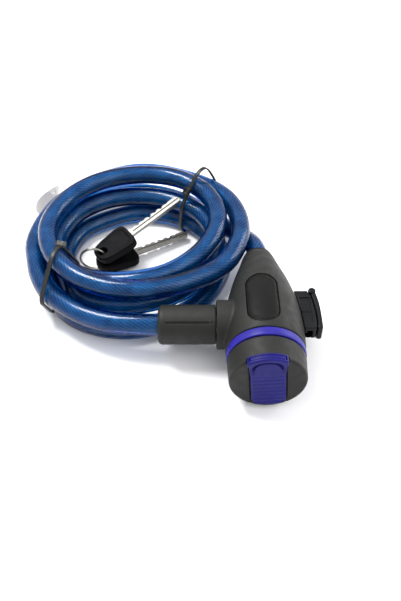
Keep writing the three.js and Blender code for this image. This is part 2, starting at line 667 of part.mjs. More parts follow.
function tag() {
  const group = new THREE.Group();
  const card = mesh('hang_tag', hangTag(), 'card');
  const loop = mesh('tag_string', tagString(), 'card');
  loop.position.set(0, TAG.holeY + TAG.stringR, 0.4);
  loop.rotation.set(0, Math.PI / 2, 0);
  group.add(card, loop);
  const lean = THREE.MathUtils.degToRad(TAG.lean);
  const around = THREE.MathUtils.degToRad(TAG.around);
  group.rotation.set(lean, 0, around, 'ZYX');
  group.position.set(...TAG.at);
  return group;
}

function keys() {
  const group = new THREE.Group();
  group.add(placedKey('lower', KEY_LOWER));
  group.add(placedKey('upper', KEY_UPPER));
  const ring = mesh('key_ring', keyRing(), 'steel');
  ring.position.set(KEY_HOLE[0] - KEY_RING.behind, KEY_HOLE[1], KEY_RING.z);
  ring.rotation.set(Math.PI / 2, 0, 0);
  group.add(ring);
  return group;
}

const cableLock = new THREE.Group();
cableLock.add(lockHead(), plug(), bracket(), coiledCable(), keys(), tag());
const plugSide = [...PLUG_LEAD, ...OUTER_TURN.map(roundTheCoil)];
cableLock.add(mesh('cable_lead_plug', cableTube(plugSide), 'cable'));
cableLock.add(mesh('cable_lead_nose', cableTube(NOSE_LEAD), 'cable'));

export default cableLock;
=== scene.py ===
"""Looks of the coiled cable lock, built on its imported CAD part. Metres, +Z up."""
import math

import bpy
import numpy as np
from mathutils import Matrix, Vector


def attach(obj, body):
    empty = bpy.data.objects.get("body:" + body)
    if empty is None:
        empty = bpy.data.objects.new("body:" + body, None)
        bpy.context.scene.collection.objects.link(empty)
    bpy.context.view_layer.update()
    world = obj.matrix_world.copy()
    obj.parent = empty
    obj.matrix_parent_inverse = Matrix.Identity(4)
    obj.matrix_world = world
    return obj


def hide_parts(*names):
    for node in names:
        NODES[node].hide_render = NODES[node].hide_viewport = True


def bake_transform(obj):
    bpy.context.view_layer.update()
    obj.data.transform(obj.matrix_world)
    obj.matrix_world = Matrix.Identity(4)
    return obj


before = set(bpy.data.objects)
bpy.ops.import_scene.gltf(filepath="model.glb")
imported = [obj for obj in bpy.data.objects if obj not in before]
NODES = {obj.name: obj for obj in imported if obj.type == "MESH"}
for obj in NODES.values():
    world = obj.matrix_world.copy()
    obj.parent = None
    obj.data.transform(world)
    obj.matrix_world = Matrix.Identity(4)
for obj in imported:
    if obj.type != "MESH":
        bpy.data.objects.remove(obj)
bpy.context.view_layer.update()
MM = 0.001

# ---------------------------------------------------------------- sizes, from the CAD part
AXIS_Z = 21.2
CABLE_R = 6.0
COIL_X, COIL_Y = -76.0, 74.0
# cable from inside the plug's sleeve to the coil
PLUG_LEAD = [
    (-48, 0, AXIS_Z), (-58.3, 0, AXIS_Z), (-70, 0.6, 21), (-85, 3, 20.4), (-99, 8.5, 19.6),
    (-112, 17.5, 18.8), (-123.5, 29, 18.2), (-131, 43, 18),
]
# the turns, clockwise from the left: degrees, radius, height; twelve points in each turn, and the
# first seven are the CAD part's outer turn
TURNS = [
    (200, 61.8, 18), (180, 62, 18), (150, 62, 19), (120, 62.5, 21.5), (90, 64, 24), (60, 65, 23.5),
    (30, 67, 25.5), (0, 66, 27.5), (-30, 64, 28), (-60, 59, 30), (-90, 56, 30.5), (-120, 54, 30.5),
    (-150, 52.5, 30.5), (-180, 52, 30.2), (-210, 51, 30.2), (-240, 51.5, 30.2), (-270, 52.5, 30.2),
    (-300, 55, 30.2), (-330, 55, 30.2), (-360, 51.5, 30), (-390, 47.5, 29), (-420, 45.5, 27.5),
    (-450, 44.8, 26), (-480, 45.2, 22), (-510, 47.5, 19.2), (-540, 48.5, 18.2), (-570, 47.5, 18.2),
    (-600, 46, 18.2), (-630, 44.8, 18.2), (-660, 46, 18.3), (-690, 49, 18.3), (-720, 51, 17.7),
    (-750, 52, 17.6), (-780, 54, 18.2), (-810, 56, 18.3), (-840, 53, 12.5), (-870, 44, 6.7),
    (-900, 43.5, 6.2), (-930, 42.5, 6.2), (-960, 40, 6.2), (-990, 41.5, 6.2), (-1020, 44.5, 6.2),
    (-1050, 49, 6.2), (-1080, 55, 6.2), (-1110, 57, 6.2), (-1140, 60, 6.3), (-1170, 64, 6.2),
    (-1200, 63.5, 6.2), (-1230, 58, 6.2), (-1260, 57, 6.2), (-1290, 57, 7.8), (-1320, 57, 10.5),
    (-1350, 57, 12), (-1380, 58.5, 9.5),
]
# from the coil into the nose of the head
NOSE_LEAD = [
    (-20, 100.5, 8), (-12.6, 91, 11.2), (-6.8, 80, 15), (-2.2, 68.5, 19.2), (0, 57.5, AXIS_Z),
    (0, 48, AXIS_Z), (0, 42, AXIS_Z),
]


# ---------------------------------------------------------------- curves
SAMPLES = 12  # taken on the curve between two given points


def around_coil(degrees, r, z):
    a = math.radians(degrees)
    return (COIL_X + r * math.cos(a), COIL_Y + r * math.sin(a), z)


def smooth_path(points, step, closed=False):
    """Points about step apart on a centripetal Catmull-Rom curve through the given ones."""
    p = np.array(points, float)
    if closed:
        q = np.vstack([p[-1], p, p[0], p[1]])
    else:
        q = np.vstack([2 * p[0] - p[1], p, 2 * p[-1] - p[-2]])
    dense = []
    for p0, p1, p2, p3 in zip(q[:-3], q[1:-2], q[2:-1], q[3:]):
        d1, d2, d3 = (math.sqrt(np.linalg.norm(b - a)) for a, b in ((p0, p1), (p1, p2), (p2, p3)))
        m1 = d2 * ((p1 - p0) / d1 - (p2 - p0) / (d1 + d2) + (p2 - p1) / d2)
        m2 = d2 * ((p2 - p1) / d2 - (p3 - p1) / (d2 + d3) + (p3 - p2) / d3)
        for t in np.linspace(0, 1, SAMPLES, endpoint=False):
            dense.append((2 * t**3 - 3 * t**2 + 1) * p1 + (t**3 - 2 * t**2 + t) * m1
                         + (3 * t**2 - 2 * t**3) * p2 + (t**3 - t**2) * m2)
    dense.append(q[-2])
    dense = np.array(dense)
    s = np.concatenate([[0], np.cumsum(np.linalg.norm(np.diff(dense, axis=0), axis=1))])
    n = max(2, int(round(s[-1] / step)) + 1)
    at = np.linspace(0, s[-1], n)
    return np.stack([np.interp(at, s, dense[:, k]) for k in range(3)], 1)


def frames(path, closed=False):
    """Side and up at each point, which turn as little as possible along the path."""
    if closed:
        t = np.roll(path, -1, 0) - np.roll(path, 1, 0)
    else:
        t = np.gradient(path, axis=0)
    t /= np.linalg.norm(t, axis=1)[:, None]
    side = np.zeros_like(t)
    up = np.array((0, 0, 1.0))
    for i in range(len(t)):
        across = np.cross(up, t[i])
        side[i] = across / np.linalg.norm(across)
        up = np.cross(t[i], side[i])
    return side, np.cross(t, side)


def arc_length(path):
    return np.concatenate([[0], np.cumsum(np.linalg.norm(np.diff(path, axis=0), axis=1))])


# ---------------------------------------------------------------- meshes
def new_piece(name, verts, faces, material, smooth=True):
    """A mesh object from points in millimetres."""
    me = bpy.data.meshes.new(name)
    points = [tuple(v) for v in np.asarray(verts, float) * MM]
    me.from_pydata(points, [], [tuple(int(i) for i in f) for f in faces])
    me.update()
    if smooth:
        me.shade_smooth()
    ob = bpy.data.objects.new(name, me)
    bpy.context.scene.collection.objects.link(ob)
    ob.data.materials.append(material)
    return ob


def grid_faces(rows, cols, wrap_rows=False, wrap_cols=True):
    """Quads between neighbours in a grid of points, which may close on itself either way."""
    last_row, last_col = rows if wrap_rows else rows - 1, cols if wrap_cols else cols - 1
    i, j = np.meshgrid(np.arange(last_row), np.arange(last_col), indexing="ij")
    a, b = i * cols + j, i * cols + (j + 1) % cols
    c, d = ((i + 1) % rows) * cols + (j + 1) % cols, ((i + 1) % rows) * cols + j
    return np.stack([a, b, c, d], -1).reshape(-1, 4).tolist()


def lay_attribute(ob, theta, along):
    """Where each point is round and along a tube, as (cos, sin, millimetres), for the materials."""
    at = ob.data.attributes.new("lay", "FLOAT_VECTOR", "POINT")
    values = np.stack([np.cos(theta), np.sin(theta), along], -1)
    at.data.foreach_set("vector", values.astype(np.float32).ravel())


def end_faces(around, rings):
    """The flat faces that close a tube at its two ends."""
    last = (rings - 1) * around
    return [list(range(around))[::-1], list(range(last, last + around))]


def tube(name, path, radius, around, material, section=None):
    """A round tube along path. section(theta, along) may scale the radius point by point."""
    side, up = frames(path)
    theta = np.linspace(0, 2 * math.pi, around, endpoint=False)
    theta, along = np.meshgrid(theta, arc_length(path))
    r = radius * (section(theta, along) if section else np.ones_like(theta))
    ring = side[:, None] * np.cos(theta)[..., None] + up[:, None] * np.sin(theta)[..., None]
    verts = (path[:, None] + ring * r[..., None]).reshape(-1, 3)
    faces = grid_faces(len(path), around) + end_faces(around, len(path))
    ob = new_piece(name, verts, faces, material)
    lay_attribute(ob, theta.ravel(), along.ravel())
    return ob


# ---------------------------------------------------------------- materials
class Nodes:
    """A short way to write a node material round one Principled shader."""

    def __init__(self, name, **values):
        self.material = bpy.data.materials.new(name)
        self.material.use_nodes = True
        self.tree = self.material.node_tree
        self.shader = self.tree.nodes["Principled BSDF"]
        for key, value in values.items():
            self.set(key.replace("_", " "), value)

    def set(self, socket, value):
        self.shader.inputs[socket].default_value = value

    def link(self, a, b):
        self.tree.links.new(a, b)

    def node(self, kind, inputs=(), **settings):
        n = self.tree.nodes.new(kind)
        for key, value in settings.items():
            setattr(n, key, value)
        for key, value in dict(inputs).items():
            if isinstance(value, bpy.types.NodeSocket):
                self.link(value, n.inputs[key])
            else:
                n.inputs[key].default_value = value
        return n

    def math(self, operation, a, b=0.0):
        return self.node("ShaderNodeMath", {0: a, 1: b}, operation=operation).outputs[0]

    def place(self, scale):
        where = self.node("ShaderNodeTexCoord").outputs["Object"]
        return self.node("ShaderNodeMapping", {"Vector": where, "Scale": scale}).outputs[0]

    def noise(self, scale, detail=3.0, roughness=0.5, vector=None):
        vector = vector or self.node("ShaderNodeTexCoord").outputs["Object"]
        n = self.node("ShaderNodeTexNoise", {"Vector": vector, "Scale": scale, "Detail": detail,
                                             "Roughness": roughness})
        return n.outputs["Fac"]

    def ramp(self, value, low, high, start=0.3, end=0.7):
        n = self.node("ShaderNodeMapRange", {"Value": value, "From Min": start, "From Max": end,
                                             "To Min": low, "To Max": high})
        return n.outputs[0]

    def mix(self, factor, a, b):
        n = self.node("ShaderNodeMix", {0: factor, 6: a, 7: b}, data_type="RGBA")
        return n.outputs[2]

    def colour(self, a, b, factor):
        self.link(self.mix(factor, a, b), self.shader.inputs["Base Color"])

    def roughness(self, value):
        self.link(value, self.shader.inputs["Roughness"])

    def bump(self, height, distance):
        n = self.node("ShaderNodeBump", {"Height": height, "Distance": distance})
        self.link(n.outputs[0], self.shader.inputs["Normal"])


def rgb(r, g, b):
    """Display values 0-255 as a linear colour."""
    linear = [c / 255 / 12.92 if c <= 10 else ((c / 255 + 0.055) / 1.055) ** 2.4 for c in (r, g, b)]
    return (*linear, 1.0)


JACKET_TINT, JACKET_DENSITY = (0.0, 0.63, 0.855, 1), 560.0
WIRES, WIRE_TWIST = 12.0, -1.9  # fine wires round the core, and their phase per millimetre along it


def jacket_material():
    m = Nodes("clear_blue_pvc", Transmission_Weight=1.0, IOR=1.32)
    m.colour(rgb(228, 238, 250), rgb(216, 232, 250), m.ramp(m.noise(60, 2), 0, 1))
    m.roughness(m.ramp(m.noise(120, 3), 0.13, 0.16))
    tint = m.node("ShaderNodeVolumeAbsorption", {"Color": JACKET_TINT, "Density": JACKET_DENSITY})
    m.link(tint.outputs[0], m.tree.nodes["Material Output"].inputs["Volume"])
    return m.material


def core_material():
    m = Nodes("wire_core", Metallic=0.3, Specular_IOR_Level=0.3)
    lay = m.node("ShaderNodeAttribute", attribute_name="lay").outputs["Vector"]
    split = m.node("ShaderNodeSeparateXYZ", {0: lay})
    turn = m.math("ARCTAN2", split.outputs[1], split.outputs[0])
    wires = m.math("ADD", m.math("MULTIPLY", turn, WIRES), m.math("MULTIPLY", split.outputs[2], WIRE_TWIST))
    wave = m.math("SINE", wires)
    patch = m.ramp(m.noise(90, 2), -0.25, 0.45)
    m.colour(rgb(52, 95, 118), rgb(100, 150, 170), m.math("ADD", m.ramp(wave, 0.15, 0.65, -1, 1), patch))
    m.roughness(m.ramp(m.noise(400), 0.45, 0.6))
    return m.material


# ---------------------------------------------------------------- cable
CORE_R = 3.5
LAY_PITCH = 46.0  # one turn of the wire core's outer strands
STRANDS = 8
JACKET_SIDES, CORE_SIDES = 24, 48
JACKET_STEP, CORE_STEP = 2.0, 1.6


def strands(theta, along):
    """The lobes of the twisted core."""
    phase = STRANDS / 2 * (theta + 2 * math.pi * along / LAY_PITCH)
    return 0.86 + 0.16 * np.abs(np.cos(phase))


def follow_plug(ob):
    """Bakes the piece's placement into its points."""
    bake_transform(ob)


def cable():
    points = PLUG_LEAD + [around_coil(*t) for t in TURNS] + NOSE_LEAD
    path = smooth_path(points, JACKET_STEP)
    fine = smooth_path(points, CORE_STEP)
    jacket = tube("cable_jacket", path, CABLE_R, JACKET_SIDES, jacket_material())
    core = tube("cable_core", fine, CORE_R, CORE_SIDES, core_material(), section=strands)
    follow_plug(jacket)
    follow_plug(core)
    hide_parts("cable_coil", "cable_lead_plug", "cable_lead_nose")
    return path, jacket


def declare_cord():
    """Lists the pieces that end the cable, hang on it or hold it, and does nothing with the list."""
    on_it = ["cable_core", "sleeve_skin", "plug_pin", "plug_ferrule", "card_tag", "tag_thread"]
    on_it += [f"tie_{side}_{part}" for side in ("left", "right") for part in ("band", "lock")]


# ---------------------------------------------------------------- stage
CAMERA_AT = (-0.0347, -0.2585, 0.308)
CAMERA_DOWN = 46  # degrees below level
SENSOR, LENS = 36.0, 41.93
FLOOR_HALF = 3000  # millimetres
SKY = 0.95


def light(name, place, aim, side, watts):
    """A square area light."""
    data = bpy.data.lights.new(name, "AREA")
    data.shape, data.size, data.size_y = "RECTANGLE", side, side
    data.energy = watts
    ob = bpy.data.objects.new(name, data)
    ob.location = place
    ob.rotation_mode = "QUATERNION"
    ob.rotation_quaternion = (Vector(aim) - Vector(place)).to_track_quat("-Z", "Y")
    bpy.context.scene.collection.objects.link(ob)


def stage():
    scene = bpy.context.scene
    cam = bpy.data.cameras.new("camera")
    cam.sensor_width, cam.lens = SENSOR, LENS
    cam.clip_start = 0.01
    ob = bpy.data.objects.new("camera", cam)
    ob.location = CAMERA_AT
    ob.rotation_euler = (math.radians(90 - CAMERA_DOWN), 0, 0)
    scene.collection.objects.link(ob)
    scene.camera = ob
    floor = Nodes("floor")
    floor.colour(rgb(246, 246, 247), rgb(241, 241, 243), floor.ramp(floor.noise(4), 0, 1))
    floor.set("Roughness", 0.6)
    corners = [(x * FLOOR_HALF, y * FLOOR_HALF, 0) for x, y in ((-1, -1), (1, -1), (1, 1), (-1, 1))]
    new_piece("floor", corners, [(0, 1, 2, 3)], floor.material, smooth=False)
    world = bpy.data.worlds.new("studio")
    world.use_nodes = True
    sky = world.node_tree.nodes["Background"]
    sky.inputs["Color"].default_value = (1, 1, 1, 1)
    sky.inputs["Strength"].default_value = SKY
    scene.world = world
    scene.view_settings.view_transform = "Standard"
    light("key", (-0.35, 0.25, 0.7), (-0.06, 0.05, 0), 0.28, 8)
    light("fill", (0.5, -0.3, 0.8), (0, 0.03, 0), 0.8, 4)
    light("rim", (0.45, 0.3, 0.25), (0, 0, 0.02), 0.3, 1.4)


# ---------------------------------------------------------------- moulded shapes
# each shape is a field: about the distance to the surface in millimetres, negative inside
def smooth_min(a, b, k):
    h = np.maximum(k - np.abs(a - b), 0) / k
    return np.minimum(a, b) - h * h * k / 4


def smooth_max(a, b, k):
    return -smooth_min(-a, -b, k)


def cut(a, b, k):
    """a with b taken out, the edge rounded by about k."""
    return smooth_max(a, -b, k)


def block(p, lo, hi, r=0.0):
    """A box between two corners, its edges rounded by r."""
    lo, hi = np.array(lo, float), np.array(hi, float)
    q = np.abs(p - (lo + hi) / 2) - (hi - lo) / 2 + r
    return np.linalg.norm(np.maximum(q, 0), axis=-1) + np.minimum(q.max(-1), 0) - r


def rod(p, axis, centre, r, lo, hi, k=0.4):
    """A round bar along an axis (0 x, 1 y, 2 z); centre gives its other two coordinates in order."""
    others = [i for i in range(3) if i != axis]
    d = np.hypot(p[..., others[0]] - centre[0], p[..., others[1]] - centre[1]) - r
    return smooth_max(d, np.maximum(lo - p[..., axis], p[..., axis] - hi), k)


def turned(p, profile, k):
    """A body turned about the head's axis; profile is [radius, y]."""
    line = smooth_path([(r, y, 0) for r, y in profile], 0.5)
    r = np.interp(p[..., 1], line[:, 1], line[:, 0])
    d = (np.hypot(p[..., 0], p[..., 2] - AXIS_Z) - r) * 0.9
    return smooth_max(d, np.maximum(profile[0][1] - p[..., 1], p[..., 1] - profile[-1][1]), k)


def stadium(p, x, width, y0, y1):
    """Distance in plan to an outline with round ends along Y."""
    r = width / 2
    y = np.clip(p[..., 1], y0 + r, y1 - r)
    return np.hypot(p[..., 0] - x, p[..., 1] - y) - r


def settle(ob, body, node):
    """Rides the piece on its body, in place of its CAD node."""
    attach(ob, body)
    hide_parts(node)


def moulded(name, field, lo, hi, step, material, body, node, move=None):
    """The surface where field is zero, as quads pulled onto it, with the field's own normals.

    lo and hi are corners of the box to look in and step is the size of a quad. node is the CAD node that
    the piece stands for. move is a (turn, shift) that puts the finished piece in its place."""
    axes = [np.arange(a - 2 * step, b + 2.5 * step, step) for a, b in zip(lo, hi)]
    grid = np.stack(np.meshgrid(*axes, indexing="ij"), -1)
    f = field(grid)
    n = f.shape
    total, count = np.zeros([k - 1 for k in n] + [3]), np.zeros([k - 1 for k in n])
    crossings = []
    for axis in range(3):
        b, c = (axis + 1) % 3, (axis + 2) % 3
        low, high = [slice(None)] * 3, [slice(None)] * 3
        low[axis], high[axis] = slice(0, -1), slice(1, None)
        f0, f1 = f[tuple(low)], f[tuple(high)]
        cross = (f0 < 0) != (f1 < 0)
        crossings.append((cross, f0 < 0))
        t = np.where(cross, f0 / np.where(cross, f0 - f1, 1), 0)[..., None]
        at = (grid[tuple(low)] * (1 - t) + grid[tuple(high)] * t) * cross[..., None]
        for db in (0, 1):
            for dc in (0, 1):
                part = [slice(None)] * 3
                part[b], part[c] = slice(db, db + n[b] - 1), slice(dc, dc + n[c] - 1)
                total += at[tuple(part)]
                count += cross[tuple(part)]
    used = count > 0
    index = np.full(used.shape, -1)
    index[used] = np.arange(used.sum())
    p = total[used] / count[used][:, None]
    faces = []
    for axis, (cross, inside) in enumerate(crossings):
        b, c = (axis + 1) % 3, (axis + 2) % 3
        at = np.argwhere(cross)
        at = at[(at[:, b] > 0) & (at[:, c] > 0) & (at[:, b] < n[b] - 1) & (at[:, c] < n[c] - 1)]
        eb, ec = np.eye(3, dtype=int)[b], np.eye(3, dtype=int)[c]
        quad = np.stack([index[tuple((at - o).T)] for o in (eb + ec, ec, 0 * eb, eb)], 1)
        flip = ~inside[tuple(at.T)]
        quad[flip] = quad[flip][:, ::-1]
        faces.append(quad)

    def slope(q, h=0.05):
        return np.stack([field(q + h * e) - field(q - h * e) for e in np.eye(3)], -1) / (2 * h)

    for _ in range(5):
        g = slope(p)
        move_by = field(p)[:, None] * g / np.maximum((g * g).sum(-1), 0.05)[:, None]
        size = np.linalg.norm(move_by, axis=1)[:, None]
        p = p - move_by * np.minimum(1, 0.4 * step / np.maximum(size, 1e-9))
    g = slope(p)
    normals = g / np.maximum(np.linalg.norm(g, axis=1), 1e-9)[:, None]
    if move is not None:
        p, normals = p @ move[0].T + move[1], normals @ move[0].T
    ob = new_piece(name, p, np.concatenate(faces), material)
    ob.data.normals_split_custom_set_from_vertices(normals.tolist())
    settle(ob, body, node)


def swept(name, path, outline, material, closed=False):
    """A flat outline [(side, up)] carried along path."""
    side, up = frames(path, closed)
    o = np.array(outline, float)
    verts = path[:, None] + side[:, None] * o[None, :, :1] + up[:, None] * o[None, :, 1:]
    faces = grid_faces(len(path), len(o), wrap_rows=closed)
    if not closed:
        faces += end_faces(len(o), len(path))
    return new_piece(name, verts.reshape(-1, 3), faces, material)


def rounded_outline(width, height, r):
    """A rectangle's outline with three points on each round corner."""
    out = []
    for k, (sx, sy) in enumerate(((1, 1), (-1, 1), (-1, -1), (1, -1))):
        for t in np.linspace(0, math.pi / 2, 3):
            a = k * math.pi / 2 + t
            out.append((sx * (width / 2 - r) + r * math.cos(a), sy * (height / 2 - r) + r * math.sin(a)))
    return out


# ---------------------------------------------------------------- plastic and metal
def plastic(name, dark, light, rough, grain=0.00004, shine=0.25):
    m = Nodes(name, Specular_IOR_Level=shine)
    m.colour(rgb(*dark), rgb(*light), m.ramp(m.noise(70, 4, 0.6), 0, 1))
    fine = m.noise(2600, 2)
    m.roughness(m.ramp(m.noise(220, 3), rough - 0.07, rough + 0.07))
    m.bump(fine, grain)
    return m.material


def metal(name, dark, light, rough, stretch=(1, 1, 1)):
    m = Nodes(name, Metallic=1.0)
    streak = m.noise(900, 3, vector=m.place(stretch))
    m.colour(rgb(*dark), rgb(*light), streak)
    m.roughness(m.ramp(streak, rough - 0.08, rough + 0.1))
    m.bump(streak, 0.00002)
    return m.material


SOFT_BLACK = plastic("soft_black", (19, 20, 18), (28, 29, 26), 0.56)
SOFT_INLAY = plastic("soft_black_inlay", (9, 10, 9), (15, 16, 15), 0.5, shine=0.12)
GLOSS_BLACK = plastic("gloss_black", (12, 13, 15), (20, 21, 23), 0.42, 0.00001, 0.15)
KEY_BLACK = plastic("key_black", (5, 5, 7), (9, 9, 11), 0.55, 0.00002, 0.06)
BLUE = plastic("violet_blue", (31, 26, 118), (39, 33, 134), 0.4, 0.00001, 0.2)
COVER_BLUE = plastic("violet_blue_cover", (17, 15, 88), (22, 20, 100), 0.45, 0.00001, 0.15)
TIE_BLACK = plastic("tie_black", (20, 21, 20), (34, 35, 32), 0.42, 0.00002, 0.3)
# a lighter grey copy of the black tie plastic for the left lock and its tail: the lighter tone is a painted
# highlight
TIE_PAINTED_HIGHLIGHT = plastic("tie_grey_painted_highlight", (74, 75, 72), (100, 100, 97), 0.5, 0.00002, 0.3)
RUBBER = plastic("rubber", (24, 24, 24), (34, 34, 34), 0.8)
STEEL = metal("plated_steel", (112, 110, 106), (158, 156, 150), 0.34, (1, 1, 6))
ZINC = metal("zinc_casting", (120, 124, 130), (160, 164, 168), 0.42)
BRASS = metal("brass", (170, 135, 70), (205, 170, 100), 0.3)
NODE_MATERIALS = {
    "lock_barrel": ZINC, "plug_ferrule": ZINC, "key_cylinder": BRASS, "plug_socket": STEEL,
    "cylinder_cam": STEEL, "cam_screw": STEEL, "locking_bolt": STEEL, "bolt_spring": STEEL,
    "nose_ferrule": STEEL, "ferrule_pin": STEEL, "head_screw_1": STEEL, "head_screw_2": STEEL,
    "plug_pin": STEEL, "bracket_screw": STEEL, "key_lower_blade": STEEL, "key_upper_blade": STEEL,
    "nose_grommet": RUBBER,
}


def node_materials():
    for name, material in NODE_MATERIALS.items():
        for place in NODES[name].material_slots:
            place.material = material


# ---------------------------------------------------------------- head
HOUSING = [
    (21.3, -19.9), (21.6, -17), (21.7, -12), (21.7, -6), (21.1, 5), (19.8, 14.5), (17.6, 24.5),
    (15.4, 32.5), (13, 40), (11.3, 45.5), (9.8, 50.5), (8.8, 53),
]
INLAY = {"x": -1.6, "width": 16.6, "y0": -16, "y1": 22, "sunk": 0.45, "rim": 1.3}
FACE_LEAN = 4.7  # degrees that the cap and its cover lean toward the plug
PAD = {"half": 9.2, "low": -17, "side": 19.9, "top": 21.9, "y0": -41.5, "y1": -39.6}
LIP = {"half": 10.3, "shoulder": 16.5, "leg": 9.4, "foot": 10.2, "middle": 19.2, "r": 22}
LIP_Y = (-43, -38.2)
COLLAR_R, PLUG_BORE = 13.7, 8.3
BARREL_BORE, CABLE_BORE, GROMMET_BORE = 16.4, 6.6, 8
CAP_BORE, KEY_BORE = 16.6, 6.9
COVER_WAY = {"half": 9.45, "back": -39.3, "low": -18}
GUIDE_SEAT = {"half": 10.6, "back": -37.9, "low": 16.2}
WELL_GAP = 0.35  # round the inlay
RAIL_NECK = (16, -1, 17.2), (25.8, 18.6, 21.8)
RAIL_HEAD = (23.4, -1, 15.5), (25.8, 18.6, 23.5)
SCREW_Y, SCREW_BORE = (-14, 12), 3.3
RIBS = {"half": 8.2, "low": -15.4, "high": 7.2, "pitch": 3, "height": 0.25, "fade": 0.8}


def skin(p):
    return turned(p, HOUSING, 0.7)


def housing(p):
    collar = rod(p, 0, (0, AXIS_Z), COLLAR_R, -26, -6, 0.8)
    f = smooth_min(skin(p), collar, 1.0)
    f = np.minimum(f, np.minimum(block(p, *RAIL_NECK, 0.3), block(p, *RAIL_HEAD, 0.3)))
    f = cut(f, rod(p, 0, (0, AXIS_Z), PLUG_BORE, -60, -8), 0.5)
    f = cut(f, rod(p, 1, (0, AXIS_Z), BARREL_BORE, -60, 20.3), 0.5)
    f = cut(f, rod(p, 1, (0, AXIS_Z), CABLE_BORE, 0, 80), 0.5)
    f = cut(f, rod(p, 1, (0, AXIS_Z), GROMMET_BORE, 47, 80), 0.4)
    y0, y1 = INLAY["y0"] - WELL_GAP, INLAY["y1"] + WELL_GAP
    well = stadium(p, INLAY["x"], INLAY["width"] + 2 * WELL_GAP, y0, y1)
    well = np.maximum(well, 30 - p[..., 2])
    f = cut(f, np.maximum(well, -(skin(p) + 2.3)), 0.3)
    for y in SCREW_Y:
        f = cut(f, rod(p, 2, (0, y), SCREW_BORE, -2, 2.8), 0.3)
    return smooth_max(f, -p[..., 2], 0.3)


def inlay(p):
    """A stadium that follows the skin, a little sunk, with a raised bead round its edge."""
    outline = stadium(p, INLAY["x"], INLAY["width"], INLAY["y0"], INLAY["y1"])
    bead = np.clip(1 - np.abs(outline + INLAY["rim"]) / 0.9, 0, 1)
    top = skin(p) + INLAY["sunk"] - 0.4 * bead * bead * (3 - 2 * bead)
    f = smooth_max(outline, np.maximum(top, -(skin(p) + 2)), 0.4)
    return np.maximum(f, 30 - p[..., 2])


def arch(p, half, side, top):
    """Distance in the XZ plane to the area under an arch of that half width."""
    rise = top - side
    r = (half * half + rise * rise) / (2 * rise)
    z = p[..., 2] - AXIS_Z
    return smooth_max(np.hypot(p[..., 0], z - (top - r)) - r, np.abs(p[..., 0]) - half, 1.2)


def open_top(p, slot):
    """A slot that is open to the front and the top of the head."""
    low, high = (-slot["half"], -60, AXIS_Z + slot["low"]), (slot["half"], slot["back"], AXIS_Z + 40)
    return block(p, low, high)


def cap(p):
    f = turned(p, [(20.3, -40), (20.5, -36), (20.8, -30), (21, -25.6)], 1.6)
    f = cut(f, open_top(p, COVER_WAY), 0.25)
    f = cut(f, open_top(p, GUIDE_SEAT), 0.3)
    f = cut(f, rod(p, 1, (0, AXIS_Z), CAP_BORE, -35.5, -10), 0.3)
    return cut(f, rod(p, 1, (0, AXIS_Z), KEY_BORE, -60, -30), 0.3)


def guide_arch(p):
    """About how far a point is under the guide's lower edge, which is squarer than an ellipse."""
    half, rise = LIP["leg"] - 0.4, LIP["middle"] - LIP["foot"]
    a, b = np.abs(p[..., 0]) / half, np.maximum(p[..., 2] - AXIS_Z - LIP["foot"], 0) / rise
    return (1 - (a**2.5 + b**2.5) ** 0.4) * half


def guide(p):
    z = p[..., 2] - AXIS_Z
    shoulder = LIP["shoulder"]
    band = smooth_max(np.abs(p[..., 0]) - LIP["half"], shoulder - z, 0.4)
    legs = smooth_max(np.abs(p[..., 0]) - LIP["leg"], LIP["foot"] - z, 0.3)
    legs = smooth_max(legs, p[..., 1] + 41.85, 0.2)
    f = smooth_max(smooth_min(band, legs, 0.4), np.hypot(p[..., 0], z) - LIP["r"], 1.2)
    f = smooth_max(f, guide_arch(p), 0.5)
    f = smooth_max(f, np.maximum(LIP_Y[0] - p[..., 1], p[..., 1] - LIP_Y[1]), 0.9)
    return cut(f, block(p, (-9.35, -41.65, AXIS_Z), (9.35, -39.45, AXIS_Z + 40)), 0.1)


def cover(p):
    z = p[..., 2] - AXIS_Z
    f = arch(p, PAD["half"], PAD["side"], PAD["top"])
    f = smooth_max(f, smooth_max(PAD["low"] - z, np.abs(p[..., 0]) - PAD["half"], 6), 0.2)
    fade = RIBS["fade"]
    inside = np.clip((RIBS["half"] - np.abs(p[..., 0])) / fade, 0, 1)
    inside = inside * np.clip((z - RIBS["low"]) / fade, 0, 1)
    inside = inside * np.clip((RIBS["high"] - z) / fade, 0, 1)
    rib = 0.5 - 0.5 * np.cos(2 * math.pi * (z - RIBS["low"]) / RIBS["pitch"])
    groove = np.clip(1 - np.abs(guide_arch(p) - 1.5) / 0.9, 0, 1) * np.clip((z - 9) / 4, 0, 1)
    front = PAD["y0"] + RIBS["height"] * inside * rib + 1.3 * groove
    faces = np.maximum((front - p[..., 1]) * 0.7, p[..., 1] - PAD["y1"])
    return smooth_max(f, faces, np.where(z > 17, 0.25, 0.8))


def ring(p):
    f = turned(p, [(21.0, -25.3), (21.2, -24.6), (21.2, -21), (21.0, -20.2)], 0.3)
    return cut(f, rod(p, 1, (0, AXIS_Z), CAP_BORE, -60, 0), 0.2)


